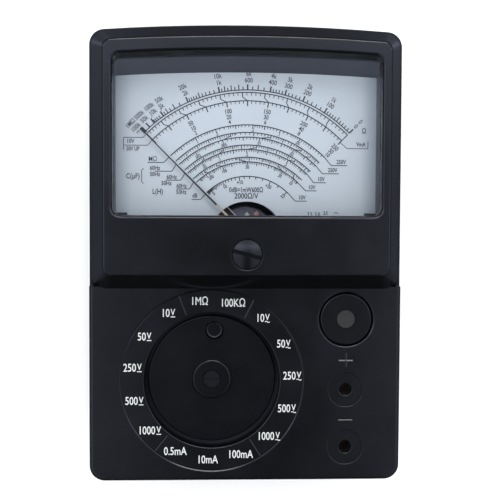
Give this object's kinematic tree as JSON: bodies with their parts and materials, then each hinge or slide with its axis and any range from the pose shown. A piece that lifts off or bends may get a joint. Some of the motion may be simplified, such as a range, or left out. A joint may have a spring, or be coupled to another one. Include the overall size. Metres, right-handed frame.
{
  "type": "analog multimeter",
  "caption": "Flat black analog multimeter with a raised glazed needle meter, sunk rotary range selector, ohm-zero knob, needle zero screw, two lead jacks and a sliding battery door",
  "frame": {"origin": "centre of the flat back, on the surface that it lies on", "axes": "+X to the right of the face, +Y towards the meter end, +Z out of the face"},
  "size_m": [0.102, 0.149, 0.0479],
  "materials": {
    "case_plastic": "moulded black plastic, semi-gloss",
    "frame_plastic": "slate-grey moulded plastic",
    "knob_plastic": "moulded black plastic, semi-gloss",
    "window": "clear acrylic",
    "dial_paint": "white enamel with black print",
    "pointer_paint": "thin aluminium, painted black",
    "steel": "plain steel",
    "soft_iron": "soft iron",
    "magnet": "alnico",
    "die_cast": "die-cast",
    "aluminium": "thin sheet",
    "copper_wire": "enamelled copper wire",
    "brass": "turned brass",
    "bronze_spring": "phosphor bronze strip",
    "solder": "solder and fine wire",
    "black_metal": "blackened sheet metal",
    "nickel": "nickel plate",
    "bakelite": "moulded phenolic",
    "board_laminate": "phenolic laminate",
    "resistor_body": "lacquered body with bands",
    "diode_glass": "glass body",
    "film_capacitor": "dipped film capacitor",
    "grey_shaft": "grey moulded shaft",
    "pot_can": "pressed can",
    "cell_jacket": "plain printed steel can"
  },
  "bodies": {
    "case": {"front_case": "case_plastic", "rear_cover": "case_plastic", "case_screws": "steel", "window_glass": "window", "window_frame": "frame_plastic", "dial_plate": "dial_paint", "dial_screws": "steel", "movement_frame": "bakelite", "movement_screws": "steel", "yoke_ring": "soft_iron", "core_magnet": "magnet", "core_holder": "die_cast", "front_jewel_screw": "brass", "rear_jewel_screw": "brass", "front_bridge": "black_metal", "rear_bridge": "black_metal", "pointer_stops": "steel", "front_hairspring": "bronze_spring", "rear_hairspring": "bronze_spring", "selector_bushing": "brass", "selector_nut": "nickel", "detent_spring": "steel", "detent_post": "brass", "switch_board": "board_laminate", "board_screws": "steel", "contact_studs": "nickel", "common_ring": "nickel", "resistors": "resistor_body", "shunt_coil": "copper_wire", "rectifier_diodes": "diode_glass", "capacitor": "film_capacitor", "zero_pot_body": "pot_can", "zero_pot_nut": "nickel", "plus_jack": "brass", "minus_jack": "brass", "jack_nuts": "nickel", "solder_lugs": "nickel", "battery_cell": "cell_jacket", "battery_plate_plus": "nickel", "battery_plate_minus": "nickel", "battery_spring": "steel"},
    "selector": {"selector_knob": "knob_plastic", "knob_screw": "black_metal", "selector_shaft": "steel", "shaft_clip": "steel", "detent_wheel": "steel", "rotor_arm": "board_laminate", "wiper_contacts": "bronze_spring"},
    "ohm_zero": {"zero_ohm_knob": "knob_plastic", "zero_pot_shaft": "grey_shaft"},
    "zero_adjuster": {"zero_screw": "knob_plastic", "zero_screw_clip": "steel"},
    "zero_arm": {"zero_lever": "brass"},
    "needle": {"coil_former": "aluminium", "coil_winding": "copper_wire", "front_pivot": "aluminium", "rear_pivot": "aluminium", "pointer": "pointer_paint", "counterweights": "solder"},
    "door": {"battery_door": "case_plastic"}
  },
  "joints": [
    {"name": "selector_turn", "type": "hinge", "parent": "case", "child": "selector", "pos_m": [-0.011, -0.0413, 0.03], "axis": [0, 0, -1], "continuous": true, "deforming": ["detent_spring"]},
    {"name": "ohm_zero_turn", "type": "hinge", "parent": "case", "child": "ohm_zero", "pos_m": [0.033, -0.0212, 0.03], "axis": [0, 0, -1], "range_deg": [-140, 140]},
    {"name": "zero_screw_turn", "type": "hinge", "parent": "case", "child": "zero_adjuster", "pos_m": [0, 0.0006, 0.044], "axis": [0, 0, -1], "range_deg": [-40, 40]},
    {"name": "zero_lever_turn", "type": "hinge", "parent": "case", "child": "zero_arm", "pos_m": [0, 0.0065, 0.04], "axis": [0, 0, -1], "range_deg": [-7, 7], "deforming": ["front_hairspring"]},
    {"name": "needle_turn", "type": "hinge", "parent": "case", "child": "needle", "pos_m": [0, 0.0065, 0.03], "axis": [0, 0, -1], "range_deg": [-2, 92], "stiffness_Nm_per_rad": 0.00001, "deforming": ["front_hairspring", "rear_hairspring"]},
    {"name": "door_slide", "type": "slide", "parent": "case", "child": "door", "axis": [0, -1, 0], "range_m": [0, 0.026]}
  ],
  "couplings": [
    {"joint": "zero_lever_turn", "follows": "zero_screw_turn", "ratio": 0.169}
  ]
}
